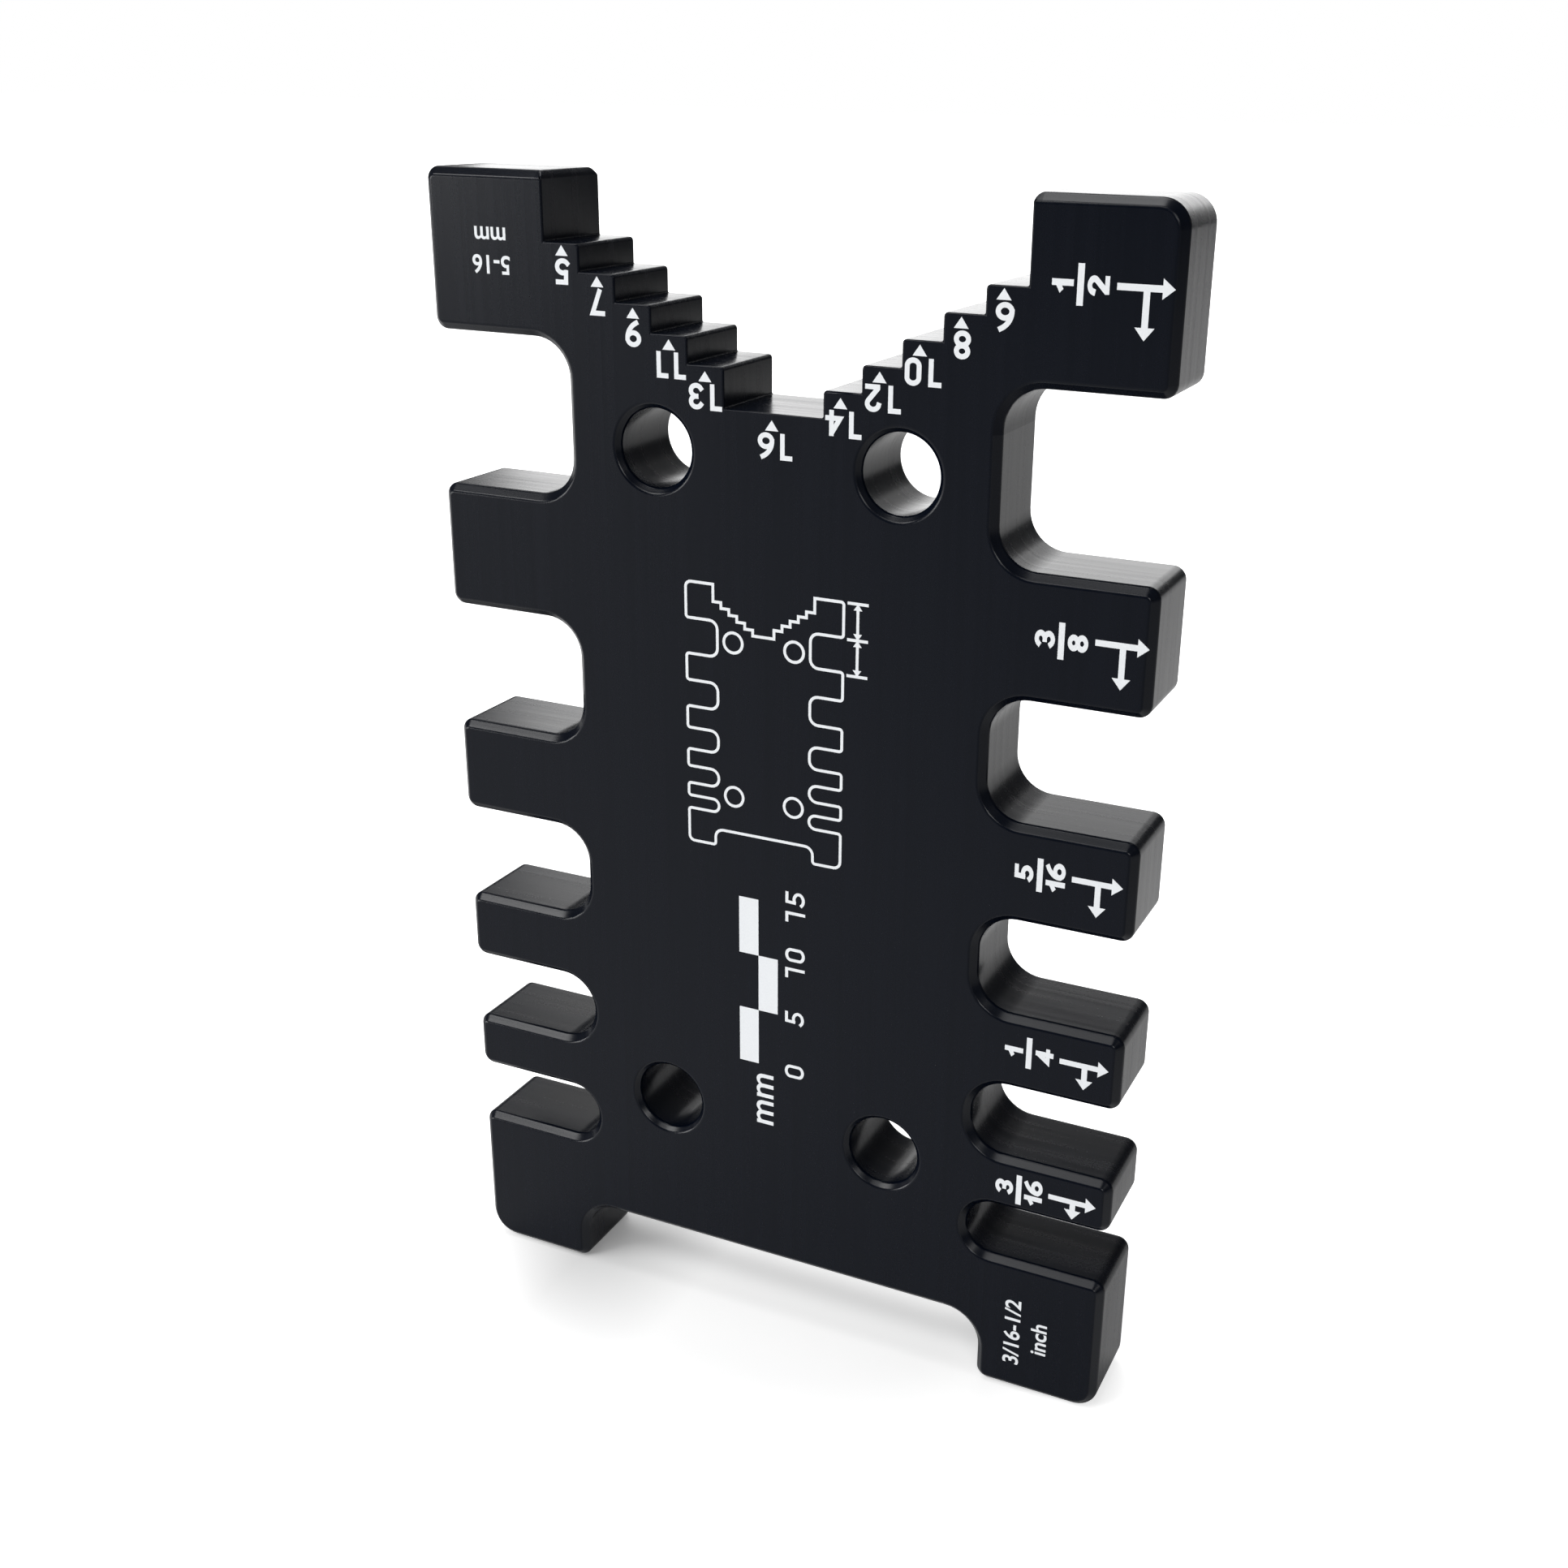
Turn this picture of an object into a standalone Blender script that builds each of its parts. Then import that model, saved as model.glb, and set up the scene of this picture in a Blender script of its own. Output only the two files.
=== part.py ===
"""Woodworking height gauge: one anodised aluminium plate that stands on two feet.

The plate is machined from one blank. Stepped teeth run down both edges, in inch sizes on the
right and in millimetres on the left, and each tooth is as thick as the slot below it. A stepped
notch in the top edge gives depths below the tops of the two arms. Four plain holes go through.
Front is -Y, right is +X, up is +Z. The origin is on the floor, under the middle of the plate.
"""
import math

import bmesh
import bpy

MM = 0.001
INCH = 25.4 * MM

# The blank
PLATE_WIDTH = 59.0 * MM
PLATE_THICKNESS = 8.0 * MM
RIM_CHAMFER = 0.6 * MM          # 45 degrees, along the outline of both faces

# The card slots, from the top down: each size is a tooth and then the slot below it
INCH_SIZES = [INCH / 2, INCH * 3 / 8, INCH * 5 / 16, INCH / 4, INCH * 3 / 16]
METRIC_SIZES = [12.0 * MM, 10.0 * MM, 8.0 * MM, 6.0 * MM, 5.0 * MM]
SLOT_DEPTH = 12.0 * MM
SLOT_FILLET = 3.0 * MM          # cutter radius in the inner corners of a slot

# The feet and the arch between them
FOOT_WIDTH = 10.5 * MM
FOOT_HEIGHT = 12.45 * MM        # below the lowest slot of the taller side
ARCH_HEIGHT = 6.0 * MM
ARCH_FILLET = 3.0 * MM

# The stepped notch: depths below the arm tops, from each arm to the middle
LEFT_STEPS = [5.0 * MM, 7.0 * MM, 9.0 * MM, 11.0 * MM, 13.0 * MM]
RIGHT_STEPS = [6.0 * MM, 8.0 * MM, 10.0 * MM, 12.0 * MM, 14.0 * MM]
MIDDLE_STEP = 16.0 * MM
TREAD_WIDTH = 3.0 * MM
MIDDLE_WIDTH = 8.0 * MM
STEP_NOSE = 0.3 * MM            # radius on the free edge of each tread
NOTCH_LIP = 0.6 * MM            # radius where the notch leaves the arm tops

# The four through holes, one near each corner of the body between the slots
HOLE_DIAMETER = 6.0 * MM
HOLE_CHAMFER = 0.45 * MM
HOLE_INSET = 7.5 * MM           # from the inner ends of the slots
HOLE_END_DISTANCE = 19.5 * MM   # from the arm tops, and from the floor

# Outer corners: the radius that is left on the flat face, inside the rim chamfer
TOOTH_CORNER = 0.4 * MM
LEFT_ARM_CORNER = 0.4 * MM
RIGHT_ARM_CORNER = 1.4 * MM
FOOT_OUTER_CORNER = 1.6 * MM
FOOT_INNER_CORNER = 0.4 * MM

# How finely arcs are cut, and how far a cutter runs past the plate
FILLET_SEGMENTS = 5
CORNER_SEGMENTS = 3
HOLE_SEGMENTS = 24
CUTTER_OVERRUN = 2.0 * MM
MERGE_DISTANCE = 0.001 * MM
SHARP_ANGLE = math.radians(30)

# Sizes that follow from those above
PLATE_HEIGHT = FOOT_HEIGHT + 2 * max(sum(INCH_SIZES), sum(METRIC_SIZES))
HALF_WIDTH = PLATE_WIDTH / 2
HALF_THICKNESS = PLATE_THICKNESS / 2
SLOT_END = HALF_WIDTH - SLOT_DEPTH
LEFT_NOTCH_EDGE = -MIDDLE_WIDTH / 2 - TREAD_WIDTH * len(LEFT_STEPS)
RIGHT_NOTCH_EDGE = MIDDLE_WIDTH / 2 + TREAD_WIDTH * len(RIGHT_STEPS)


def arc(centre, radius, start, end, segments):
    """Points along an arc in the XZ plane, both ends included."""
    points = []
    for i in range(segments + 1):
        angle = start + (end - start) * i / segments
        points.append((centre[0] + radius * math.cos(angle), centre[1] + radius * math.sin(angle)))
    return points


def without_repeats(points):
    """The closed outline without the points that lie on the one before them."""
    kept = []
    for i, point in enumerate(points):
        if math.dist(point, points[i - 1]) > MERGE_DISTANCE:
            kept.append(point)
    return kept


def rounded(corners):
    """Turn corners (x, z, radius, segments) into points, with an arc at each radius above zero."""
    points = []
    for i, (x, z, radius, segments) in enumerate(corners):
        if radius <= 0:
            points.append((x, z))
            continue
        before = corners[i - 1]
        after = corners[(i + 1) % len(corners)]
        come = math.atan2(z - before[1], x - before[0])
        leave = math.atan2(after[1] - z, after[0] - x)
        turn = (leave - come + math.pi) % (2 * math.pi) - math.pi
        reach = radius * math.tan(abs(turn) / 2)
        side = math.copysign(math.pi / 2, turn)
        begin = (x - reach * math.cos(come), z - reach * math.sin(come))
        centre = (begin[0] + radius * math.cos(come + side), begin[1] + radius * math.sin(come + side))
        points += arc(centre, radius, come - side, come - side + turn, segments)
    return without_repeats(points)


def card_side(sizes, side):
    """Corners of one toothed edge, from the arm's underside down. side is 1 right, -1 left."""
    outer_radius = RIM_CHAMFER + TOOTH_CORNER
    corners = []
    z = PLATE_HEIGHT
    for size in sizes:
        fillet = min(SLOT_FILLET, size / 2)
        roof = z - size
        floor = roof - size
        corners.append((side * HALF_WIDTH, roof, outer_radius, CORNER_SEGMENTS))
        corners.append((side * SLOT_END, roof, fillet, FILLET_SEGMENTS))
        corners.append((side * SLOT_END, floor, fillet, FILLET_SEGMENTS))
        corners.append((side * HALF_WIDTH, floor, outer_radius, CORNER_SEGMENTS))
        z = floor
    return corners


def feet():
    """Corners of the feet and the arch, from the right foot to the left one."""
    outer_radius = RIM_CHAMFER + FOOT_OUTER_CORNER
    inner_radius = RIM_CHAMFER + FOOT_INNER_CORNER
    arch_end = HALF_WIDTH - FOOT_WIDTH
    right = [
        (HALF_WIDTH, 0.0, outer_radius, FILLET_SEGMENTS),
        (arch_end, 0.0, inner_radius, CORNER_SEGMENTS),
        (arch_end, ARCH_HEIGHT, ARCH_FILLET, FILLET_SEGMENTS),
    ]
    left = [(-x, z, radius, segments) for x, z, radius, segments in reversed(right)]
    return right + left


def plate_outline():
    """The blank's outline, clockwise from the front, starting at the top right."""
    right_radius = RIM_CHAMFER + RIGHT_ARM_CORNER
    left_radius = RIM_CHAMFER + LEFT_ARM_CORNER
    corners = [(HALF_WIDTH, PLATE_HEIGHT, right_radius, FILLET_SEGMENTS)]
    corners += card_side(INCH_SIZES, 1)
    corners += feet()
    corners += reversed(card_side(METRIC_SIZES, -1))
    corners += [(-HALF_WIDTH, PLATE_HEIGHT, left_radius, CORNER_SEGMENTS)]
    return rounded(corners)


def notch_outline():
    """The stepped notch, from the left arm to the right one, closed above the plate."""
    top = PLATE_HEIGHT + CUTTER_OVERRUN
    lip_z = PLATE_HEIGHT - NOTCH_LIP
    left_lip = (LEFT_NOTCH_EDGE - NOTCH_LIP, lip_z)
    right_lip = (RIGHT_NOTCH_EDGE + NOTCH_LIP, lip_z)
    steps = []
    x = LEFT_NOTCH_EDGE
    for depth in LEFT_STEPS:
        steps.append((x, PLATE_HEIGHT - depth, 0, 0))
        x += TREAD_WIDTH
        steps.append((x, PLATE_HEIGHT - depth, STEP_NOSE, CORNER_SEGMENTS))
    steps.append((x, PLATE_HEIGHT - MIDDLE_STEP, 0, 0))
    x += MIDDLE_WIDTH
    steps.append((x, PLATE_HEIGHT - MIDDLE_STEP, 0, 0))
    for depth in reversed(RIGHT_STEPS):
        steps.append((x, PLATE_HEIGHT - depth, STEP_NOSE, CORNER_SEGMENTS))
        x += TREAD_WIDTH
        steps.append((x, PLATE_HEIGHT - depth, 0, 0))
    points = [(left_lip[0], top)]
    points += arc(left_lip, NOTCH_LIP, math.pi / 2, 0, CORNER_SEGMENTS)
    points += rounded(steps)
    points += arc(right_lip, NOTCH_LIP, math.pi, math.pi / 2, CORNER_SEGMENTS)
    points += [(right_lip[0], top)]
    return points


def prism(outline, half_depth):
    """A closed bmesh of the outline, from -half_depth to +half_depth along Y."""
    bm = bmesh.new()
    front = bm.faces.new([bm.verts.new((x, -half_depth, z)) for x, z in outline])
    grown = bmesh.ops.extrude_face_region(bm, geom=[front])
    moved = [item for item in grown["geom"] if isinstance(item, bmesh.types.BMVert)]
    bmesh.ops.translate(bm, verts=moved, vec=(0, 2 * half_depth, 0))
    bmesh.ops.recalc_face_normals(bm, faces=bm.faces)
    return bm


def new_object(name, bm):
    """Put the bmesh into a named object, smooth over arcs and sharp at real edges."""
    mesh = bpy.data.meshes.new(name)
    bm.to_mesh(mesh)
    bm.free()
    mesh.shade_smooth()
    mesh.set_sharp_from_angle(angle=SHARP_ANGLE)
    obj = bpy.data.objects.new(name, mesh)
    bpy.context.scene.collection.objects.link(obj)
    return obj


def plate_blank():
    """The plate before the notch and holes: extruded, with its rim chamfered on both faces."""
    bm = prism(plate_outline(), HALF_THICKNESS)
    rim = [edge for edge in bm.edges if edge.verts[0].co.y * edge.verts[1].co.y > 0]
    bmesh.ops.bevel(bm, geom=rim, offset=RIM_CHAMFER, offset_type="OFFSET", segments=1,
                    profile=0.5, affect="EDGES", material=-1)
    return new_object("gauge_plate", bm)


def notch_cutter():
    """The stepped notch, cut square through the plate so that its edges stay crisp."""
    return new_object("notch_cutter", prism(notch_outline(), HALF_THICKNESS + CUTTER_OVERRUN))


def hole_cutter(name, x, z):
    """One through hole with a small countersink at each face, turned about its own axis."""
    radius = HOLE_DIAMETER / 2
    mouth = radius + HOLE_CHAMFER + CUTTER_OVERRUN
    wall_end = HALF_THICKNESS - HOLE_CHAMFER
    cutter_end = HALF_THICKNESS + CUTTER_OVERRUN
    profile = [(0, -cutter_end), (mouth, -cutter_end), (radius, -wall_end),
               (radius, wall_end), (mouth, cutter_end), (0, cutter_end)]
    bm = bmesh.new()
    verts = [bm.verts.new((x + reach, y, z)) for reach, y in profile]
    edges = [bm.edges.new(pair) for pair in zip(verts, verts[1:])]
    bmesh.ops.spin(bm, geom=verts + edges, cent=(x, 0, z), axis=(0, 1, 0), angle=2 * math.pi,
                   steps=HOLE_SEGMENTS, use_merge=True)
    bmesh.ops.remove_doubles(bm, verts=bm.verts, dist=MERGE_DISTANCE)
    bmesh.ops.recalc_face_normals(bm, faces=bm.faces)
    return new_object(name, bm)


def cut(plate, cutter):
    """Subtract the cutter from the plate and keep it out of sight."""
    cutter.display_type = "WIRE"
    cutter.hide_render = True
    modifier = plate.modifiers.new(cutter.name, "BOOLEAN")
    modifier.operation = "DIFFERENCE"
    modifier.solver = "EXACT"
    modifier.object = cutter


def anodised_black():
    """Black anodised aluminium."""
    material = bpy.data.materials.new("anodised_black")
    material.use_nodes = True
    shader = material.node_tree.nodes["Principled BSDF"]
    shader.inputs["Base Color"].default_value = (0.016, 0.017, 0.020, 1.0)
    shader.inputs["Metallic"].default_value = 0.6
    shader.inputs["Roughness"].default_value = 0.38
    return material


def main():
    for old in list(bpy.data.objects):
        bpy.data.objects.remove(old, do_unlink=True)
    plate = plate_blank()
    plate.data.materials.append(anodised_black())
    cut(plate, notch_cutter())
    hole_x = SLOT_END - HOLE_INSET
    for row, z in (("lower", HOLE_END_DISTANCE), ("upper", PLATE_HEIGHT - HOLE_END_DISTANCE)):
        for column, x in (("left", -hole_x), ("right", hole_x)):
            cut(plate, hole_cutter(f"{row}_{column}_hole_cutter", x, z))


main()
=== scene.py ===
import math

import bmesh
import bpy
from mathutils import Matrix, Vector


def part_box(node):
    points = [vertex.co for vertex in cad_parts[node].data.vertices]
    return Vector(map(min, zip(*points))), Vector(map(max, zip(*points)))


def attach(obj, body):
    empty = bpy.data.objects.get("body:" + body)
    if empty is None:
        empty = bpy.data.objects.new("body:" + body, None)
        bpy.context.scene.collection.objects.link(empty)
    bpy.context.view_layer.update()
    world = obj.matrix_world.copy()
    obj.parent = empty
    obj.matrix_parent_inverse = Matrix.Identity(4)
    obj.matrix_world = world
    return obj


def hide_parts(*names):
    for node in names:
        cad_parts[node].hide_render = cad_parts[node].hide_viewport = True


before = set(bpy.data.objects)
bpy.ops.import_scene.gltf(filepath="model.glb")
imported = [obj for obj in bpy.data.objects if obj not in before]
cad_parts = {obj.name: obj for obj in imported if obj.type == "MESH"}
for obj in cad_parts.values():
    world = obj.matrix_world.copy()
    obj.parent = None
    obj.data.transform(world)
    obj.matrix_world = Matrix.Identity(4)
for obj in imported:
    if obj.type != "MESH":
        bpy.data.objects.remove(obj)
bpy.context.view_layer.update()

# The gauge plate is one piece of aluminium, milled to its outline and chamfered along both faces.
# The stepped notch is cut square after that, so only the chamfer stops at it. Four plain holes
# are drilled through and countersunk a little, and every edge is dulled before anodising.

MM = 0.001
INCH = 25.4 * MM

plate_low, plate_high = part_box("gauge_plate")
HALF_WIDTH = plate_high.x
PLATE_TOP = plate_high.z
FRONT = plate_low.y
BACK = plate_high.y

INCH_SIZES = [INCH / 2, INCH * 3 / 8, INCH * 5 / 16, INCH / 4, INCH * 3 / 16]
METRIC_SIZES = [12 * MM, 10 * MM, 8 * MM, 6 * MM, 5 * MM]
SLOT_END = HALF_WIDTH - 12 * MM
SLOT_FILLET = 3 * MM
TOOTH_CORNER = 1.0 * MM

ARCH_END = HALF_WIDTH - 10.5 * MM
ARCH_HEIGHT = 6 * MM
ARCH_FILLET = 3 * MM
FOOT_INNER_CORNER = 1.0 * MM
RIGHT_FOOT_CORNER = 2.0 * MM
LEFT_FOOT_CORNER = 2.5 * MM
RIGHT_ARM_CORNER = 2.0 * MM
LEFT_ARM_CORNER = 1.0 * MM

LEFT_STEPS = [5 * MM, 7 * MM, 9 * MM, 11 * MM, 13 * MM]
RIGHT_STEPS = [6 * MM, 8 * MM, 10 * MM, 12 * MM, 14 * MM]
MIDDLE_STEP = 16 * MM
TREAD_WIDTH = 3 * MM
MIDDLE_WIDTH = 8 * MM
STEP_NOSE = 0.3 * MM
NOTCH_LIP = 0.6 * MM

RIM_CHAMFER = 0.6 * MM
HOLE_RADIUS = 3 * MM
HOLE_CHAMFER = 0.45 * MM
HOLE_X = SLOT_END - 7.5 * MM
HOLE_END_DISTANCE = 19.5 * MM
EDGE_BREAK = 0.15 * MM
EDGE_BREAK_ANGLE = math.radians(30)

CUTTER_OVERRUN = 2 * MM
LIP_CLEARANCE = 0.01 * MM
CORNER_SEGMENTS = 10
NOTCH_SEGMENTS = 4
HOLE_SEGMENTS = 72
MERGE_DISTANCE = 0.002 * MM


def card_side(sizes, side):
    """Corners (x, z, radius) of one toothed edge, from the arm's underside to the lowest slot."""
    corners = []
    z = PLATE_TOP
    for size in sizes:
        fillet = min(SLOT_FILLET, size / 2)
        corners.append((side * HALF_WIDTH, z - size, TOOTH_CORNER))
        corners.append((side * SLOT_END, z - size, fillet))
        corners.append((side * SLOT_END, z - 2 * size, fillet))
        corners.append((side * HALF_WIDTH, z - 2 * size, TOOTH_CORNER))
        z -= 2 * size
    return corners


def edge_corners():
    """Corners of the plate's outline below its top edge, clockwise from the right arm."""
    corners = [(HALF_WIDTH, PLATE_TOP, RIGHT_ARM_CORNER)]
    corners += card_side(INCH_SIZES, 1)
    corners += [
        (HALF_WIDTH, 0, RIGHT_FOOT_CORNER),
        (ARCH_END, 0, FOOT_INNER_CORNER),
        (ARCH_END, ARCH_HEIGHT, ARCH_FILLET),
        (-ARCH_END, ARCH_HEIGHT, ARCH_FILLET),
        (-ARCH_END, 0, FOOT_INNER_CORNER),
        (-HALF_WIDTH, 0, LEFT_FOOT_CORNER),
    ]
    corners += reversed(card_side(METRIC_SIZES, -1))
    corners += [(-HALF_WIDTH, PLATE_TOP, LEFT_ARM_CORNER)]
    return corners


def notch_corners():
    """Corners of the stepped notch below the arm tops, from the left arm to the right one."""
    corners = []
    x = -MIDDLE_WIDTH / 2 - TREAD_WIDTH * len(LEFT_STEPS)
    for depth in LEFT_STEPS:
        corners.append((x, PLATE_TOP - depth, 0))
        x += TREAD_WIDTH
        corners.append((x, PLATE_TOP - depth, STEP_NOSE))
    corners.append((x, PLATE_TOP - MIDDLE_STEP, 0))
    x += MIDDLE_WIDTH
    corners.append((x, PLATE_TOP - MIDDLE_STEP, 0))
    for depth in reversed(RIGHT_STEPS):
        corners.append((x, PLATE_TOP - depth, STEP_NOSE))
        x += TREAD_WIDTH
        corners.append((x, PLATE_TOP - depth, 0))
    return corners


def milled_block(corners, front, back, segments):
    """A block with that outline between two Y planes, its upright edges rounded to their radii."""
    bm = bmesh.new()
    ring = [bm.verts.new((x, front, z)) for x, z, radius in corners]
    grown = bmesh.ops.extrude_face_region(bm, geom=[bm.faces.new(ring)])
    moved = [item for item in grown["geom"] if isinstance(item, bmesh.types.BMVert)]
    bmesh.ops.translate(bm, verts=moved, vec=(0, back - front, 0))
    for radius in sorted({corner[2] for corner in corners if corner[2] > 0}):
        uprights = []
        for vert, corner in zip(ring, corners):
            if corner[2] == radius:
                uprights += [edge for edge in vert.link_edges
                             if edge.other_vert(vert).co.y > front]
        bmesh.ops.bevel(bm, geom=uprights, offset=radius, offset_type="OFFSET", segments=segments,
                        profile=0.5, affect="EDGES", material=-1, clamp_overlap=False)
    bmesh.ops.remove_doubles(bm, verts=bm.verts, dist=MERGE_DISTANCE)
    bmesh.ops.recalc_face_normals(bm, faces=bm.faces)
    return bm


def new_object(name, bm):
    """Puts the bmesh into a named object with smooth shading."""
    mesh = bpy.data.meshes.new(name)
    bm.to_mesh(mesh)
    bm.free()
    mesh.shade_smooth()
    obj = bpy.data.objects.new(name, mesh)
    bpy.context.scene.collection.objects.link(obj)
    return obj


def bake(obj):
    """Applies the object's modifiers to its mesh."""
    evaluated = obj.evaluated_get(bpy.context.evaluated_depsgraph_get())
    baked = bpy.data.meshes.new_from_object(evaluated)
    obj.modifiers.clear()
    obj.data = baked


def combine(obj, tool, operation, overlaps_itself=False):
    """Adds the tool to the object or cuts it away, and uses the tool up."""
    modifier = obj.modifiers.new("combine", "BOOLEAN")
    modifier.operation = operation
    modifier.solver = "EXACT"
    modifier.use_self = overlaps_itself
    modifier.object = tool
    bake(obj)
    bpy.data.objects.remove(tool)


blank = milled_block(edge_corners(), FRONT, BACK, CORNER_SEGMENTS)
rim = [edge for edge in blank.edges if edge.verts[0].co.y * edge.verts[1].co.y > 0]
bmesh.ops.bevel(blank, geom=rim, offset=RIM_CHAMFER, offset_type="OFFSET", segments=1,
                profile=0.5, affect="EDGES", material=-1)
gauge = new_object("machined_plate", blank)

# The notch's cutter turns outwards just above the arm tops, which rounds the arms' inner corners.
notch_edge = MIDDLE_WIDTH / 2 + TREAD_WIDTH * len(LEFT_STEPS)
lip_top = PLATE_TOP + LIP_CLEARANCE
cutter_top = PLATE_TOP + CUTTER_OVERRUN
notch_outline = [(-notch_edge - CUTTER_OVERRUN, cutter_top, 0),
                 (-notch_edge - CUTTER_OVERRUN, lip_top, 0),
                 (-notch_edge, lip_top, NOTCH_LIP)]
notch_outline += notch_corners()
notch_outline += [(notch_edge, lip_top, NOTCH_LIP),
                  (notch_edge + CUTTER_OVERRUN, lip_top, 0),
                  (notch_edge + CUTTER_OVERRUN, cutter_top, 0)]
notch_cutter = new_object("notch_cutter", milled_block(
    notch_outline, FRONT - CUTTER_OVERRUN, BACK + CUTTER_OVERRUN, NOTCH_SEGMENTS))
combine(gauge, notch_cutter, "DIFFERENCE")

hole_mouth = HOLE_RADIUS + HOLE_CHAMFER + CUTTER_OVERRUN
drill = [(0, BACK + CUTTER_OVERRUN), (hole_mouth, BACK + CUTTER_OVERRUN),
         (HOLE_RADIUS, BACK - HOLE_CHAMFER), (HOLE_RADIUS, FRONT + HOLE_CHAMFER),
         (hole_mouth, FRONT - CUTTER_OVERRUN), (0, FRONT - CUTTER_OVERRUN)]
for hole_z in (HOLE_END_DISTANCE, PLATE_TOP - HOLE_END_DISTANCE):
    for hole_x in (-HOLE_X, HOLE_X):
        bm = bmesh.new()
        side = [bm.verts.new((hole_x + reach, y, hole_z)) for reach, y in drill]
        for pair in zip(side, side[1:]):
            bm.edges.new(pair)
        bmesh.ops.spin(bm, geom=bm.verts[:] + bm.edges[:], cent=(hole_x, 0, hole_z),
                       axis=(0, 1, 0), angle=2 * math.pi, steps=HOLE_SEGMENTS, use_merge=True)
        bmesh.ops.remove_doubles(bm, verts=bm.verts, dist=MERGE_DISTANCE)
        bmesh.ops.recalc_face_normals(bm, faces=bm.faces)
        combine(gauge, new_object("drill", bm), "DIFFERENCE")

dulled = gauge.modifiers.new("dulled_edges", "BEVEL")
dulled.width = EDGE_BREAK
dulled.segments = 3
dulled.limit_method = "ANGLE"
dulled.angle_limit = EDGE_BREAK_ANGLE
dulled.use_clamp_overlap = False
dulled.harden_normals = True


def node(tree, kind, inputs, **settings):
    """Adds a shader node, with each input set to a value or linked from another node's output."""
    made = tree.nodes.new("ShaderNode" + kind)
    for name, value in settings.items():
        setattr(made, name, value)
    for name, value in inputs.items():
        if isinstance(value, bpy.types.NodeSocket):
            tree.links.new(value, made.inputs[name])
        else:
            made.inputs[name].default_value = value
    return made.outputs


FACE_GRAIN = (1600, 1, 30)
WALL_GRAIN = (45, 1500, 45)
GRAIN_SHIFT = (3.4, 7.7, 1.2)
SPECK_SCALE = 5000
GRAIN_HEIGHT = 0.005 * MM
BLACK_DARK = (0.0003, 0.0016, 0.0052, 1)
BLACK_LIGHT = (0.0014, 0.0030, 0.0080, 1)
FILM_IOR = 1.33


def anodised_black():
    """Black anodising: an upright rolled grain on both faces, cutter lines along the walls."""
    material = bpy.data.materials.new("anodised_black")
    material.use_nodes = True
    tree = material.node_tree
    place = node(tree, "TexCoord", {})["Object"]
    turned = node(tree, "SeparateXYZ", {0: node(tree, "NewGeometry", {})["True Normal"]})["Y"]
    flat = node(tree, "Math", {0: turned}, operation="ABSOLUTE")[0]
    walls = node(tree, "Math", {0: flat, 1: 0.9}, operation="LESS_THAN")[0]

    def face_or_wall(face, wall):
        """One value on the two faces and another on the chamfers and walls."""
        return node(tree, "MapRange", {"Value": walls, "To Min": face, "To Max": wall})["Result"]

    where = node(tree, "SeparateXYZ", {0: place})
    aside = node(tree, "Math", {0: where["X"]}, operation="ABSOLUTE")[0]
    between = node(tree, "Math", {0: aside, 1: notch_edge + NOTCH_LIP}, operation="LESS_THAN")[0]
    below_notch = PLATE_TOP - MIDDLE_STEP - 0.05 * MM
    above = node(tree, "Math", {0: where["Z"], 1: below_notch}, operation="GREATER_THAN")[0]
    inside = node(tree, "Math", {0: between, 1: above}, operation="MULTIPLY")[0]
    notch = node(tree, "Math", {0: inside, 1: walls}, operation="MULTIPLY")[0]

    stretch = node(tree, "Mix", {"Factor": walls, "A": FACE_GRAIN, "B": WALL_GRAIN},
                   data_type="VECTOR")["Result"]
    stretched = node(tree, "VectorMath", {0: place, 1: stretch, 2: GRAIN_SHIFT},
                     operation="MULTIPLY_ADD")[0]
    lines = node(tree, "TexNoise", {"Vector": stretched, "Scale": 1, "Detail": 2.5})["Fac"]
    specks = node(tree, "TexNoise", {"Vector": place, "Scale": SPECK_SCALE, "Detail": 2})["Fac"]
    cut = node(tree, "Math", {0: specks, 1: 0.3, 2: lines}, operation="MULTIPLY_ADD")[0]
    tone = node(tree, "Mix", {"Factor": lines, "A": BLACK_DARK, "B": BLACK_LIGHT},
                data_type="RGBA")["Result"]

    # The walls shine more than the faces and less evenly. Those inside the notch are dull.
    dull = node(tree, "MapRange", {"Value": notch, "To Min": 1, "To Max": 0.62})["Result"]
    shine = face_or_wall(0.38, 0.60)
    gloss = node(tree, "Math", {0: shine, 1: dull}, operation="MULTIPLY")[0]
    rough = node(tree, "Math", {0: cut, 1: face_or_wall(0.12, 0.16), 2: face_or_wall(0.19, 0.15)},
                 operation="MULTIPLY_ADD")[0]
    height = node(tree, "Math", {0: lines, 1: face_or_wall(0.6, 1)}, operation="MULTIPLY")[0]
    relief = node(tree, "Bump", {"Height": height, "Distance": GRAIN_HEIGHT})["Normal"]

    shader = tree.nodes["Principled BSDF"]
    shader.inputs["IOR"].default_value = FILM_IOR
    tree.links.new(tone, shader.inputs["Base Color"])
    tree.links.new(rough, shader.inputs["Roughness"])
    tree.links.new(gloss, shader.inputs["Specular IOR Level"])
    tree.links.new(relief, shader.inputs["Normal"])
    return material


gauge.data.materials.clear()
gauge.data.materials.append(anodised_black())
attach(gauge, "root")
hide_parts("gauge_plate")

# The marks for the step gauge stand under its treads, upside down, because the gauge is turned
# over to use them. All markings are laser engraved: the beam clears the black down to pale, matt
# metal. A pen of constant width draws each figure upright, in a box one wide and two high.

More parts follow.
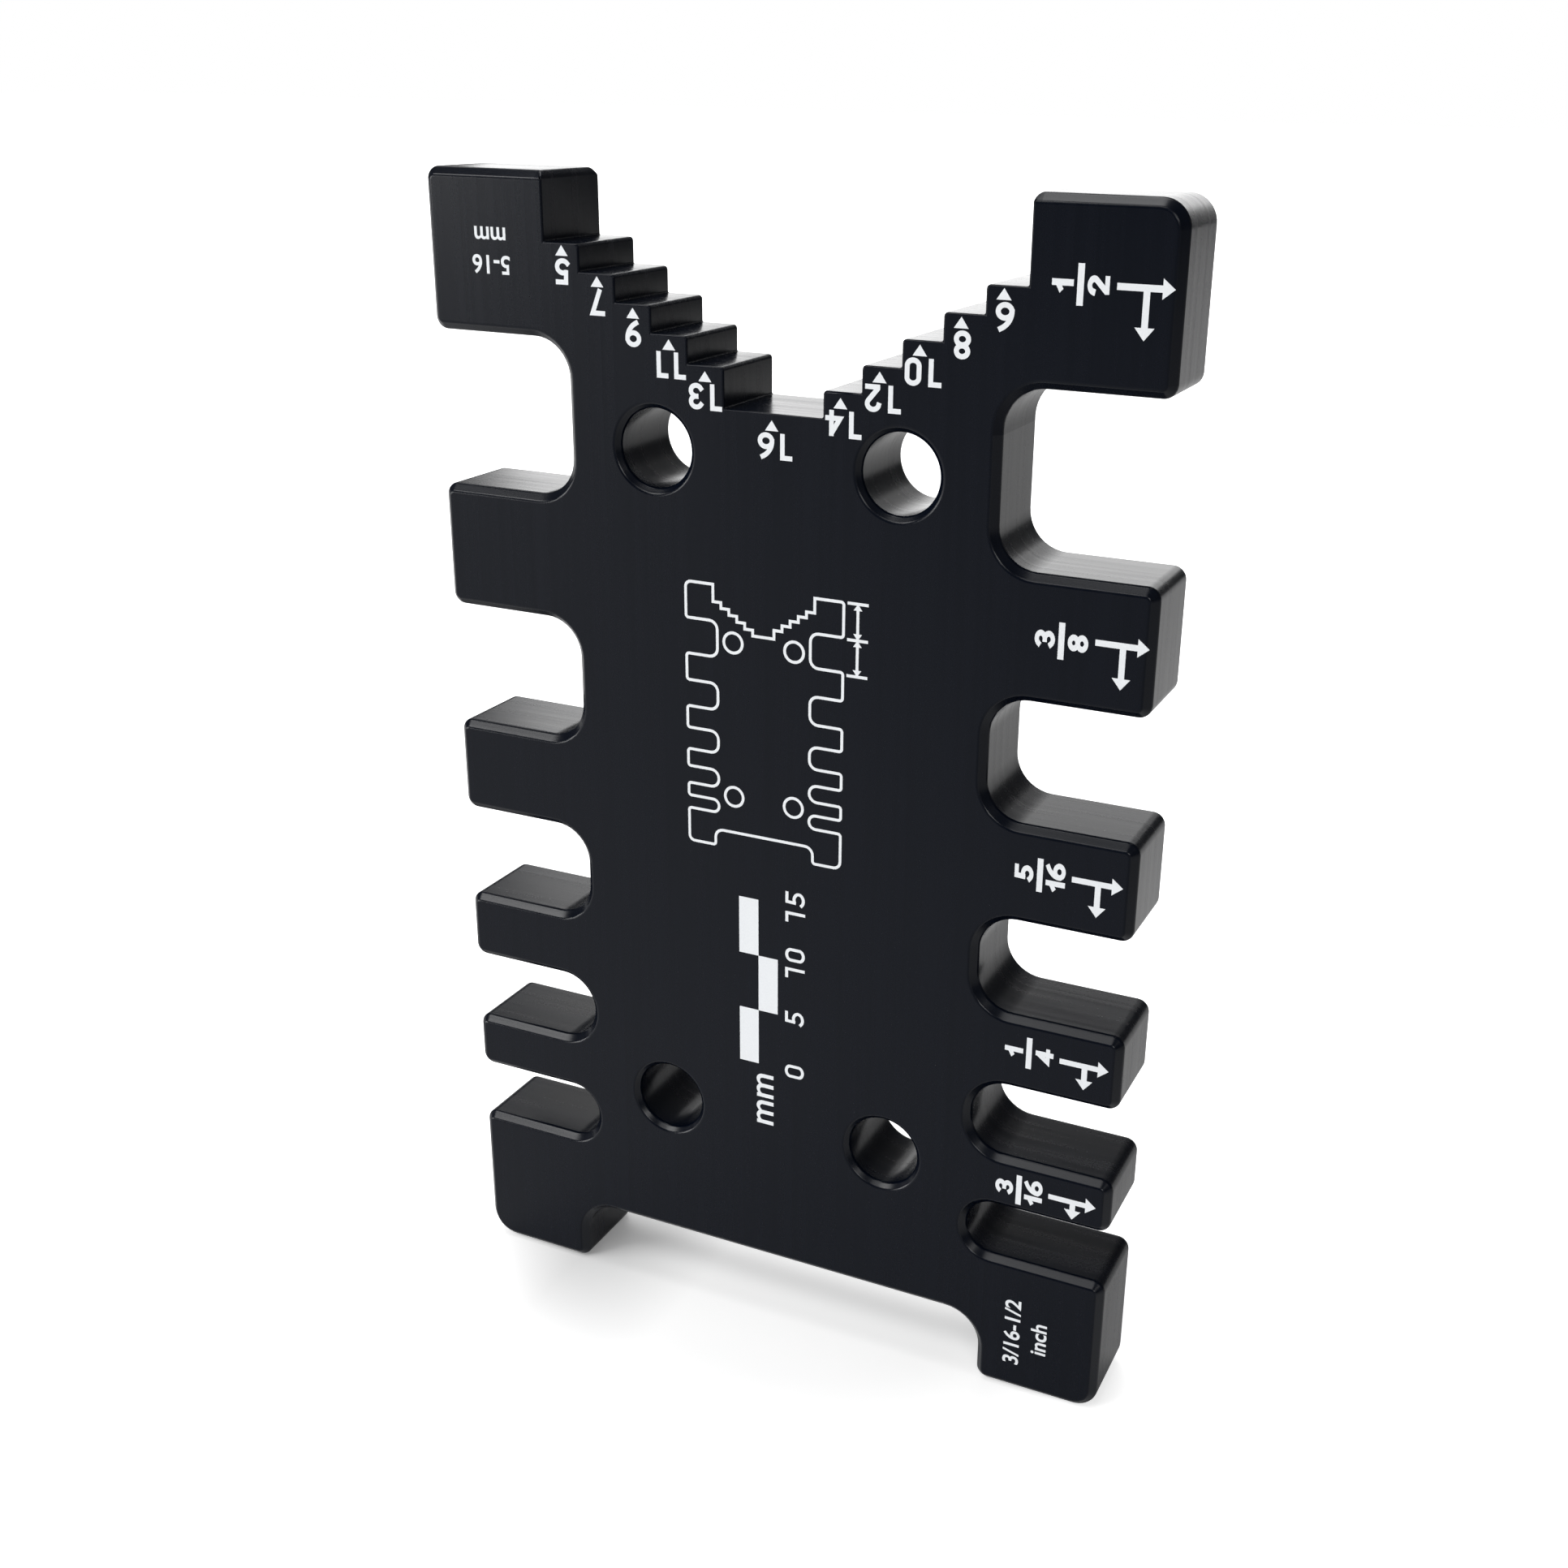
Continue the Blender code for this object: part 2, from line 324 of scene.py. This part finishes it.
MARK_FRONT = FRONT - 0.012 * MM
MARK_DEPTH = 0.022 * MM
FIGURES = {
    "0": [[(0, 0.5), (0.5, 0.5, 180), (1, 1.5), (0.5, 1.5, 180), (0, 0.5)]],
    "1": [[(-0.05, 2), (0.65, 2), (0.65, 0)]],
    "bold 1": [[(0.6, 2), (0.6, 0)], [(0.42, 1.47), (0.14, 1.26)]],
    "2": [[(0.01, 1.59), (0.5, 1.5, -207), (0.21, 0.27)], [(0.11, 0), (1, 0)]],
    "3": [[(0.07, 1.75), (0.5, 1.5, -240)], [(0.5, 1), (0.5, 0.5, -240)]],
    "4": [[(0.67, 1.75), (0, 0.5), (1.1, 0.5)], [(0.75, 1.9), (0.75, 0)]],
    "5": [[(0.95, 2), (0.15, 2), (0.12, 1.1)], [(0.231, 1.119), (0.42, 0.6, -253)]],
    "6": [[(0.8, 2), (1.61, 0.55, 60.9)], [(-0.05, 0.55), (0.5, 0.55, 360)]],
    "7": [[(0, 2), (1, 2), (0.3, 0)]],
    "8": [[(0, 0.5), (0.5, 0.5, 360)], [(0.03, 1.53), (0.5, 1.53, 360)]],
    "9": [[(0.2, 0), (-0.61, 1.45, 60.9)], [(1.05, 1.45), (0.5, 1.45, 360)]],
}

PEN_STEPS = 24
PEN_MERGE = 0.00001

STEP_NIB = 0.36 * MM
STEP_FIGURE_WIDTH = 1.25 * MM
STEP_FIGURE_HEIGHT = 1.93 * MM
STEP_FIGURE_PITCH = 1.47 * MM
STEP_FIGURE_GAP = 0.13 * MM
ONE_FIGURE_SHIFT = 0.12 * MM
TWO_FIGURE_SHIFT = 0.27 * MM
POINTER_WIDTH = 1.08 * MM
POINTER_HEIGHT = 0.77 * MM
POINTER_DROP = 0.03
POINTER_SPREAD = 0.993
POINTER_SHIFT = -0.07 * MM
UPSIDE_DOWN = Matrix.Rotation(math.pi, 4, "Y")


def pen_line(bm, moves):
    """One line of the pen through points (x, z) and round turns (centre x, z, degrees)."""
    vert = bm.verts.new((moves[0][0], 0, moves[0][1]))
    line = [vert]
    for move in moves[1:]:
        if len(move) == 2:
            vert = bmesh.ops.extrude_vert_indiv(bm, verts=[vert])["verts"][0]
            vert.co = (move[0], 0, move[1])
            line.append(vert)
        else:
            before = set(bm.verts)
            turned = bmesh.ops.spin(bm, geom=[vert], cent=(move[0], 0, move[1]), axis=(0, -1, 0),
                                    angle=math.radians(move[2]), steps=PEN_STEPS)
            vert = turned["geom_last"][0]
            line += [new for new in bm.verts if new not in before]
    bmesh.ops.remove_doubles(bm, verts=line, dist=PEN_MERGE)


def figure(bm, name, x, z, width, height, nib, turn):
    """Draws a figure with that outer size about (x, z), its line ends squared by half a nib."""
    before = set(bm.verts)
    for moves in FIGURES[name]:
        pen_line(bm, moves)
    verts = [vert for vert in bm.verts if vert not in before]
    fit = Matrix.Diagonal((width - nib, 1, (height - nib) / 2, 1))
    bmesh.ops.transform(bm, matrix=fit @ Matrix.Translation((-0.5, 0, -1)), verts=verts)
    square_ends(verts, nib)
    bmesh.ops.transform(bm, matrix=Matrix.Translation((x, 0, z)) @ turn, verts=verts)


def square_ends(verts, nib):
    """Lengthens each open line by half the nib at both ends."""
    ends = [vert for vert in verts if len(vert.link_edges) == 1]
    for vert, other in [(vert, vert.link_edges[0].other_vert(vert)) for vert in ends]:
        vert.co += (vert.co - other.co).normalized() * nib / 2


def triangle(bm, tip, width, length, turn):
    """A solid triangle whose tip points up before it is turned."""
    corners = ((0, 0), (width / 2, -length), (-width / 2, -length))
    verts = [bm.verts.new((x, 0, z)) for x, z in corners]
    bmesh.ops.transform(bm, matrix=Matrix.Translation((tip[0], 0, tip[1])) @ turn, verts=verts)
    bm.faces.new(verts)


def raised(name, bm, nib=0):
    """Lifts lines or faces off the plate as thin solids. Lines get the width of the nib."""
    bmesh.ops.translate(bm, verts=bm.verts, vec=(0, MARK_FRONT, 0))
    if nib:
        grown = bmesh.ops.extrude_edge_only(bm, edges=bm.edges)
    else:
        grown = bmesh.ops.extrude_face_region(bm, geom=bm.faces)
    moved = [item for item in grown["geom"] if isinstance(item, bmesh.types.BMVert)]
    bmesh.ops.translate(bm, verts=moved, vec=(0, MARK_DEPTH, 0))
    if not nib:
        bmesh.ops.recalc_face_normals(bm, faces=bm.faces)
    obj = new_object(name, bm)
    if nib:
        widen(obj, nib)
    return obj


def widen(obj, nib):
    """Gives standing walls the thickness of the nib, half to each side, with mitred corners."""
    modifier = obj.modifiers.new("nib", "SOLIDIFY")
    modifier.thickness = nib
    modifier.offset = 0
    modifier.use_even_offset = True
    bake(obj)


METAL_DARK = (0.82, 0.85, 0.88, 1)
METAL_LIGHT = (0.95, 0.97, 0.99, 1)
METAL_SPOT_SCALE = 9000
METAL_SPOT_HEIGHT = 0.004 * MM


def engraved_metal():
    """Aluminium with its black burnt away: pale, matt and slightly uneven."""
    material = bpy.data.materials.new("engraved_metal")
    material.use_nodes = True
    tree = material.node_tree
    place = node(tree, "TexCoord", {})["Object"]
    spots = node(tree, "TexNoise", {"Vector": place, "Scale": METAL_SPOT_SCALE, "Detail": 2})["Fac"]
    tone = node(tree, "Mix", {"Factor": spots, "A": METAL_DARK, "B": METAL_LIGHT},
                data_type="RGBA")["Result"]
    relief = node(tree, "Bump", {"Height": spots, "Distance": METAL_SPOT_HEIGHT})["Normal"]
    shader = tree.nodes["Principled BSDF"]
    shader.inputs["Roughness"].default_value = 0.6
    tree.links.new(tone, shader.inputs["Base Color"])
    tree.links.new(relief, shader.inputs["Normal"])
    return material


engraving = engraved_metal()


def finish_mark(obj):
    """Flat shading, the engraved look, and the body that a mark belongs to."""
    obj.data.shade_flat()
    obj.data.materials.clear()
    obj.data.materials.append(engraving)
    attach(obj, "root")


step_marks = {}
for number, depth in enumerate(LEFT_STEPS):
    tread = -MIDDLE_WIDTH / 2 - TREAD_WIDTH * (len(LEFT_STEPS) - number - 0.5)
    step_marks[depth] = (tread, 0)
for number, depth in enumerate(RIGHT_STEPS):
    tread = MIDDLE_WIDTH / 2 + TREAD_WIDTH * (len(RIGHT_STEPS) - number - 0.5)
    step_marks[depth] = (tread, TWO_FIGURE_SHIFT if depth > 9 * MM else ONE_FIGURE_SHIFT)
step_marks[MIDDLE_STEP] = (0, TWO_FIGURE_SHIFT)

figures_bm = bmesh.new()
pointers_bm = bmesh.new()
for depth, (tread, shift) in step_marks.items():
    x = tread * POINTER_SPREAD + POINTER_SHIFT
    z = PLATE_TOP - depth * (1 + POINTER_DROP)
    triangle(pointers_bm, (x, z), POINTER_WIDTH, POINTER_HEIGHT, Matrix())
    z -= POINTER_HEIGHT + STEP_FIGURE_GAP + STEP_FIGURE_HEIGHT / 2
    text = str(round(depth / MM))
    for place, name in enumerate(text):
        right = x + shift + STEP_FIGURE_PITCH * ((len(text) - 1) / 2 - place)
        figure(figures_bm, name, right, z, STEP_FIGURE_WIDTH, STEP_FIGURE_HEIGHT, STEP_NIB,
               UPSIDE_DOWN)
step_scale = raised("step_marks", figures_bm, STEP_NIB)
combine(step_scale, raised("pointers", pointers_bm), "UNION", overlaps_itself=True)
finish_mark(step_scale)

# The inch sizes stand on the right arm and teeth and read upwards. Each fraction has an arrow to
# the tooth's end and a shorter one down to the slot that it measures. The bold figures are drawn
# too tall and then squashed, which leaves their level strokes thinner than the upright ones.

BOLD_SQUASH = 0.72
BOLD_NIB = 0.43 * MM
BOLD_WIDTH = 1.27 * MM
BOLD_HEIGHT = 1.5 * MM
BOLD_PITCH = 1.1 * MM
BAR_NIB = 0.45 * MM
BAR_LENGTH = 2.7 * MM
LOWER_FIGURE = 2.45 * MM
ARROW_START = 3.7 * MM
ARROW_TIP = 7.6 * MM
ARROW_DOWN = 5.72 * MM
HEAD_LENGTH = 0.84 * MM
HEAD_WIDTH = 1.35 * MM
SHAFT_END = HEAD_LENGTH * 0.6
READS_UP = Matrix.Rotation(-math.pi / 2, 4, "Y")
TO_THE_RIGHT = Matrix.Rotation(math.pi / 2, 4, "Y")

# Upper and lower figures, the distance of the upper one from the plate's edge, the height of the
# bar and of the arrow above the floor, and the length of the arrow that points down.
INCH_MARKS = [
    ("1", "2", 8.15 * MM, PLATE_TOP - 5.65 * MM, PLATE_TOP - 5.62 * MM, 3.36 * MM),
    ("3", "8", 7.98 * MM, PLATE_TOP - 29.93 * MM, PLATE_TOP - 29.68 * MM, 3.22 * MM),
    ("5", "16", 8.53 * MM, PLATE_TOP - 48.07 * MM, PLATE_TOP - 47.9 * MM, 2.7 * MM),
    ("1", "4", 8.55 * MM, PLATE_TOP - 63.12 * MM, PLATE_TOP - 63.15 * MM, 2.05 * MM),
    ("3", "16", 8.73 * MM, PLATE_TOP - 75.57 * MM, PLATE_TOP - 75.42 * MM, 1.58 * MM),
]


def fraction_row(bm, text, x, z):
    """Bold figures that read upwards, with the middle of the row at (x, z)."""
    for place, name in enumerate(text):
        up = z + BOLD_PITCH * (place - (len(text) - 1) / 2)
        name = "bold 1" if name == "1" else name
        figure(bm, name, x / BOLD_SQUASH, up, BOLD_WIDTH, BOLD_HEIGHT / BOLD_SQUASH, BOLD_NIB,
               READS_UP)


figures_bm = bmesh.new()
lines_bm = bmesh.new()
heads_bm = bmesh.new()
for upper, lower, inset, bar_z, arrow_z, down in INCH_MARKS:
    x = HALF_WIDTH - inset
    fraction_row(figures_bm, upper, x, bar_z)
    fraction_row(figures_bm, lower, x + LOWER_FIGURE, bar_z)
    bar_x = x + LOWER_FIGURE / 2
    pen_line(lines_bm, [(bar_x, bar_z - BAR_LENGTH / 2), (bar_x, bar_z + BAR_LENGTH / 2)])
    head_x = x + ARROW_TIP
    pen_line(lines_bm, [(x + ARROW_START, arrow_z), (head_x - SHAFT_END, arrow_z)])
    triangle(heads_bm, (head_x, arrow_z), HEAD_WIDTH, HEAD_LENGTH, TO_THE_RIGHT)
    down_x = x + ARROW_DOWN
    pen_line(lines_bm, [(down_x, arrow_z), (down_x, arrow_z - down + SHAFT_END)])
    triangle(heads_bm, (down_x, arrow_z - down), HEAD_WIDTH, HEAD_LENGTH, UPSIDE_DOWN)
inch_scale = raised("inch_marks", figures_bm, BOLD_NIB)
inch_scale.data.transform(Matrix.Diagonal((BOLD_SQUASH, 1, 1, 1)))
combine(inch_scale, raised("bars", lines_bm, BAR_NIB), "UNION", overlaps_itself=True)
combine(inch_scale, raised("arrowheads", heads_bm), "UNION", overlaps_itself=True)
finish_mark(inch_scale)

# A small line drawing of the plate, seen from the back, is engraved in the middle, with two
# arrows for the sizes of a tooth and a slot.

DRAWING_SCALE = 0.2262
DRAWING_NIB = 0.23 * MM
DRAWING_SEGMENTS = 5
DRAWING_X = -0.775 * MM
DRAWING_TOP = PLATE_TOP - 29.3 * MM
DRAWN_HOLE_RADIUS = 0.8 * MM
DRAWN_HOLE_X = HOLE_X * 1.15
SIZE_LINE_X = 7.05 * MM
SIZE_LENGTH = 2.8 * MM
SIZE_TICK = 1.7 * MM
SIZE_HEAD_LENGTH = 0.5 * MM
SIZE_HEAD_WIDTH = 0.7 * MM

drawn = edge_corners() + [(-notch_edge, PLATE_TOP, 0)]
drawn += notch_corners() + [(notch_edge, PLATE_TOP, 0)]
drawn = [(DRAWING_X - x * DRAWING_SCALE, DRAWING_TOP + (z - PLATE_TOP) * DRAWING_SCALE,
          radius * DRAWING_SCALE if radius > STEP_NOSE else 0) for x, z, radius in drawn]
drawing_bm = milled_block(drawn, MARK_FRONT, MARK_FRONT + MARK_DEPTH, DRAWING_SEGMENTS)
caps = [face for face in drawing_bm.faces if abs(face.normal.y) > 0.9]
bmesh.ops.delete(drawing_bm, geom=caps, context="FACES_ONLY")
drawing = new_object("outline_drawing", drawing_bm)
widen(drawing, DRAWING_NIB)

lines_bm = bmesh.new()
heads_bm = bmesh.new()
for hole_z in (HOLE_END_DISTANCE, PLATE_TOP - HOLE_END_DISTANCE):
    for hole_x in (-DRAWN_HOLE_X, DRAWN_HOLE_X):
        x = DRAWING_X + hole_x * DRAWING_SCALE
        z = DRAWING_TOP + (hole_z - PLATE_TOP) * DRAWING_SCALE
        pen_line(lines_bm, [(x + DRAWN_HOLE_RADIUS, z), (x, z, 360)])
tick_heights = [DRAWING_TOP - drop * SIZE_LENGTH for drop in (0, 1, 2)]
for z in tick_heights:
    pen_line(lines_bm, [(SIZE_LINE_X - SIZE_TICK / 2, z), (SIZE_LINE_X + SIZE_TICK / 2, z)])
pen_line(lines_bm, [(SIZE_LINE_X, tick_heights[0]), (SIZE_LINE_X, tick_heights[-1])])
for upper, lower in zip(tick_heights, tick_heights[1:]):
    triangle(heads_bm, (SIZE_LINE_X, upper), SIZE_HEAD_WIDTH, SIZE_HEAD_LENGTH, Matrix())
    triangle(heads_bm, (SIZE_LINE_X, lower), SIZE_HEAD_WIDTH, SIZE_HEAD_LENGTH, UPSIDE_DOWN)
combine(drawing, raised("drawn_lines", lines_bm, DRAWING_NIB), "UNION", overlaps_itself=True)
combine(drawing, raised("drawn_heads", heads_bm), "UNION", overlaps_itself=True)
finish_mark(drawing)

# A plain millimetre scale below the drawing, with the unit at its foot, and the range and unit of
# each set of sizes beside it. The words are set in the built-in typeface.

SCALE_TOP = PLATE_TOP - 54.9 * MM
SCALE_STEP = 5 * MM
SCALE_STEPS = 3
SCALE_LEFT = -3.0 * MM
SCALE_COLUMN = 1.75 * MM
SCALE_FIGURE_X = 2.05 * MM
SCALE_FIGURE_WIDTH = 1.2 * MM
SCALE_FIGURE_HEIGHT = 1.75 * MM
SCALE_FIGURE_PITCH = 1.45 * MM
SCALE_NIB = 0.26 * MM
WORD_GROWTH = 0.03 * MM
WORDS = [
    ("mm", 3.3 * MM, -0.9 * MM, PLATE_TOP - 73.2 * MM, READS_UP),
    ("5-16", 1.9 * MM, -23.7 * MM, PLATE_TOP - 6.8 * MM, UPSIDE_DOWN),
    ("mm", 1.9 * MM, -23.7 * MM, PLATE_TOP - 4.75 * MM, UPSIDE_DOWN),
    ("3/16-1/2", 1.9 * MM, 22.2 * MM, PLATE_TOP - 89.3 * MM, READS_UP),
    ("inch", 1.9 * MM, 24.5 * MM, PLATE_TOP - 89.3 * MM, READS_UP),
]

blocks_bm = bmesh.new()
figures_bm = bmesh.new()
for step in range(SCALE_STEPS):
    left = SCALE_LEFT + (step % 2) * SCALE_COLUMN
    bottom = SCALE_TOP - SCALE_STEP * (SCALE_STEPS - step)
    block = [(left, bottom), (left + SCALE_COLUMN, bottom),
             (left + SCALE_COLUMN, bottom + SCALE_STEP), (left, bottom + SCALE_STEP)]
    blocks_bm.faces.new([blocks_bm.verts.new((x, 0, z)) for x, z in block])
for step in range(SCALE_STEPS + 1):
    text = str(step * round(SCALE_STEP / MM))
    z = SCALE_TOP - SCALE_STEP * (SCALE_STEPS - step)
    for place, name in enumerate(text):
        up = z + SCALE_FIGURE_PITCH * (place - (len(text) - 1) / 2)
        figure(figures_bm, name, SCALE_FIGURE_X, up, SCALE_FIGURE_WIDTH, SCALE_FIGURE_HEIGHT,
               SCALE_NIB, READS_UP)
scale = raised("millimetre_scale", figures_bm, SCALE_NIB)
combine(scale, raised("blocks", blocks_bm), "UNION", overlaps_itself=True)
finish_mark(scale)


def lettering(text, size):
    """A mesh of thin solid letters that lie flat, with the middle of the text at the origin."""
    letters = bpy.data.curves.new("letters", "FONT")
    letters.body = text
    letters.size = size
    letters.extrude = MARK_DEPTH / 2
    letters.offset = WORD_GROWTH
    letters.align_x = "CENTER"
    letters.align_y = "CENTER"
    typed = bpy.data.objects.new("typed", letters)
    bpy.context.scene.collection.objects.link(typed)
    evaluated = typed.evaluated_get(bpy.context.evaluated_depsgraph_get())
    mesh = bpy.data.meshes.new_from_object(evaluated)
    bpy.data.objects.remove(typed)
    return mesh


for number, (text, size, x, z, turn) in enumerate(WORDS):
    mesh = lettering(text, size)
    stand = Matrix.Rotation(math.pi / 2, 4, "X")
    mesh.transform(Matrix.Translation((x, MARK_FRONT + MARK_DEPTH / 2, z)) @ turn @ stand)
    word = bpy.data.objects.new("word_%d" % (number + 1), mesh)
    bpy.context.scene.collection.objects.link(word)
    finish_mark(word)

# The stage is a white floor with no edge in sight, greyed by painted shade where the gauge mirrors
# it, soft lamps round the gauge, and the camera. The camera sees the world and the floor's far
# parts as pure white, and near the gauge the floor keeps its shadow.

FLOOR_REACH = 5
FLOOR_WHITE = (0.9, 0.9, 0.9, 1)

# Painted shade greys the floor towards the right and the front, which dims what the gauge's walls
# mirror.
SIDE_SHADE_GREY = (0.5, 0.5, 0.5, 1)
SIDE_SHADE_WAY = (1, -0.7, 0)
SIDE_SHADE_START = -20 * MM
SIDE_SHADE_END = 170 * MM

# Behind the gauge lies an oval of painted shade that its walls mirror and the camera never sees.
REAR_SHADE_GREY = (0.15, 0.15, 0.15, 1)
REAR_SHADE_MIDDLE = (-45 * MM, 22 * MM)
REAR_SHADE_REACH = (1 / 14, 1 / 50)

# A glow that only the camera sees makes the floor pure white. It is weaker in this oval, where
# the gauge's shadow shows, and weakest in the left part of it.
SHADOW_MIDDLE = (0, 0)
SHADOW_REACH = (1 / 22, 1 / 30)
LEFT_GLOW = 0.02
RIGHT_GLOW = 0.37
LEFT_END = -20 * MM
RIGHT_END = -8 * MM


def oval_distance(tree, place, middle, reach):
    """Distance from the middle of an oval, measured in its own reach: 1 on its edge."""
    per_metre = (1 / reach[0], 1 / reach[1], 0)
    shift = (-middle[0] / reach[0], -middle[1] / reach[1], 0)
    spread = node(tree, "VectorMath", {0: place, 1: per_metre, 2: shift},
                  operation="MULTIPLY_ADD")[0]
    return node(tree, "VectorMath", {0: spread}, operation="LENGTH")["Value"]


def white_floor():
    """White paint with its two parts of painted shade, and the glow that only the camera sees."""
    material = bpy.data.materials.new("white_floor")
    material.use_nodes = True
    tree = material.node_tree
    place = node(tree, "TexCoord", {})["Object"]
    camera_ray = node(tree, "LightPath", {})["Is Camera Ray"]

    # Painted shade: the floor's paint turns grey towards the right and the front.
    aside = node(tree, "VectorMath", {0: place, 1: SIDE_SHADE_WAY}, operation="DOT_PRODUCT")["Value"]
    side = node(tree, "MapRange", {"Value": aside, "From Min": SIDE_SHADE_START, "From Max": SIDE_SHADE_END},
                interpolation_type="SMOOTHSTEP")["Result"]
    paint = node(tree, "Mix", {"Factor": side, "A": FLOOR_WHITE, "B": SIDE_SHADE_GREY},
                 data_type="RGBA")["Result"]
    # Painted shade in an oval behind the gauge, which only the gauge's reflections show.
    rear_shade = oval_distance(tree, place, REAR_SHADE_MIDDLE, REAR_SHADE_REACH)
    unseen = node(tree, "Math", {0: 1, 1: camera_ray}, operation="SUBTRACT")[0]
    rear_shade = node(tree, "MapRange", {"Value": rear_shade, "From Min": 0.6, "From Max": 1.2,
                                   "To Min": unseen, "To Max": 0},
                interpolation_type="SMOOTHSTEP")["Result"]
    paint = node(tree, "Mix", {"Factor": rear_shade, "A": paint, "B": REAR_SHADE_GREY},
                 data_type="RGBA")["Result"]

    along = node(tree, "SeparateXYZ", {0: place})["X"]
    least = node(tree, "MapRange", {"Value": along, "From Min": LEFT_END, "From Max": RIGHT_END,
                                    "To Min": LEFT_GLOW, "To Max": RIGHT_GLOW})["Result"]
    away = oval_distance(tree, place, SHADOW_MIDDLE, SHADOW_REACH)
    glow = node(tree, "MapRange", {"Value": away, "From Min": 0.3, "To Min": least},
                interpolation_type="SMOOTHSTEP")["Result"]
    glow = node(tree, "Math", {0: glow, 1: camera_ray}, operation="MULTIPLY")[0]

    shader = tree.nodes["Principled BSDF"]
    shader.inputs["Roughness"].default_value = 0.9
    shader.inputs["Emission Color"].default_value = (1, 1, 1, 1)
    tree.links.new(paint, shader.inputs["Base Color"])
    tree.links.new(glow, shader.inputs["Emission Strength"])
    return material


floor_bm = bmesh.new()
bmesh.ops.create_grid(floor_bm, x_segments=1, y_segments=1, size=FLOOR_REACH)
floor = new_object("floor", floor_bm)
floor.data.materials.append(white_floor())

ROOM_LIGHT = 0.08
world = bpy.data.worlds.new("white_room")
bpy.context.scene.world = world
world.use_nodes = True
tree = world.node_tree
camera_ray = node(tree, "LightPath", {})["Is Camera Ray"]
level = node(tree, "MapRange", {"Value": camera_ray, "To Min": ROOM_LIGHT, "To Max": 1})["Result"]
tree.nodes["Background"].inputs["Color"].default_value = (1, 1, 1, 1)
tree.links.new(level, tree.nodes["Background"].inputs["Strength"])

LAMP_DISTANCE = 2.0
LAMP_AIM = Vector((0, 0, 0.05))


def soft_lamp(name, azimuth, elevation, width, height, level):
    """A softbox that faces the middle of the gauge. Azimuth turns from behind it to the right."""
    lamp = bpy.data.lights.new(name, "AREA")
    lamp.shape = "RECTANGLE"
    lamp.size = width
    lamp.size_y = height
    lamp.energy = level * math.pi * width * height
    azimuth = math.radians(azimuth)
    elevation = math.radians(elevation)
    way = Vector((math.sin(azimuth) * math.cos(elevation), math.cos(azimuth) * math.cos(elevation),
                  math.sin(elevation)))
    obj = bpy.data.objects.new(name, lamp)
    obj.location = LAMP_AIM + way * LAMP_DISTANCE
    obj.rotation_euler = way.to_track_quat("Z", "Y").to_euler()
    obj.visible_camera = False
    bpy.context.scene.collection.objects.link(obj)


# Azimuth and elevation in degrees, width and height in metres, and the brightness.
soft_lamp("back_lamp", -14, 12, 1.62, 0.84, 2.5)
soft_lamp("upper_back_lamp", -40, 40, 1.00, 0.80, 1.2)
soft_lamp("left_lamp", -127, 6, 1.08, 0.42, 11.5)
soft_lamp("front_left_lamp", -132, 46, 0.90, 0.50, 7.5)
soft_lamp("front_lamp", -162, 54, 0.90, 0.60, 2.8)
soft_lamp("top_lamp", -60, 78, 1.30, 0.90, 4.8)
soft_lamp("fill_lamp", 150, 25, 0.80, 0.60, 5.0)

# The camera's focus and centre are in the photo's pixels, its place is in metres.
PHOTO_SIZE = 1932
PHOTO_FOCUS = 2252.1
PHOTO_CENTRE = (1049.7, 986.0)
CAMERA_PLACE = (0.05994, -0.12293, 0.10194)
CAMERA_TURN = math.radians(24.066)
CAMERA_DIP = math.radians(21.678)
CAMERA_ROLL = math.radians(1.020)
SENSOR_WIDTH = 36

lens = bpy.data.cameras.new("photo_camera")
lens.sensor_width = SENSOR_WIDTH
lens.lens = PHOTO_FOCUS / PHOTO_SIZE * SENSOR_WIDTH
lens.shift_x = 0.5 - PHOTO_CENTRE[0] / PHOTO_SIZE
lens.shift_y = PHOTO_CENTRE[1] / PHOTO_SIZE - 0.5
lens.clip_start = 0.01
camera = bpy.data.objects.new("photo_camera", lens)
turn = Matrix.Rotation(CAMERA_TURN, 4, "Z")
tilt = Matrix.Rotation(math.pi / 2 - CAMERA_DIP, 4, "X")
roll = Matrix.Rotation(CAMERA_ROLL, 4, "Z")
camera.matrix_world = Matrix.Translation(CAMERA_PLACE) @ turn @ tilt @ roll
bpy.context.scene.collection.objects.link(camera)
bpy.context.scene.camera = camera
bpy.context.scene.view_settings.view_transform = "Standard"
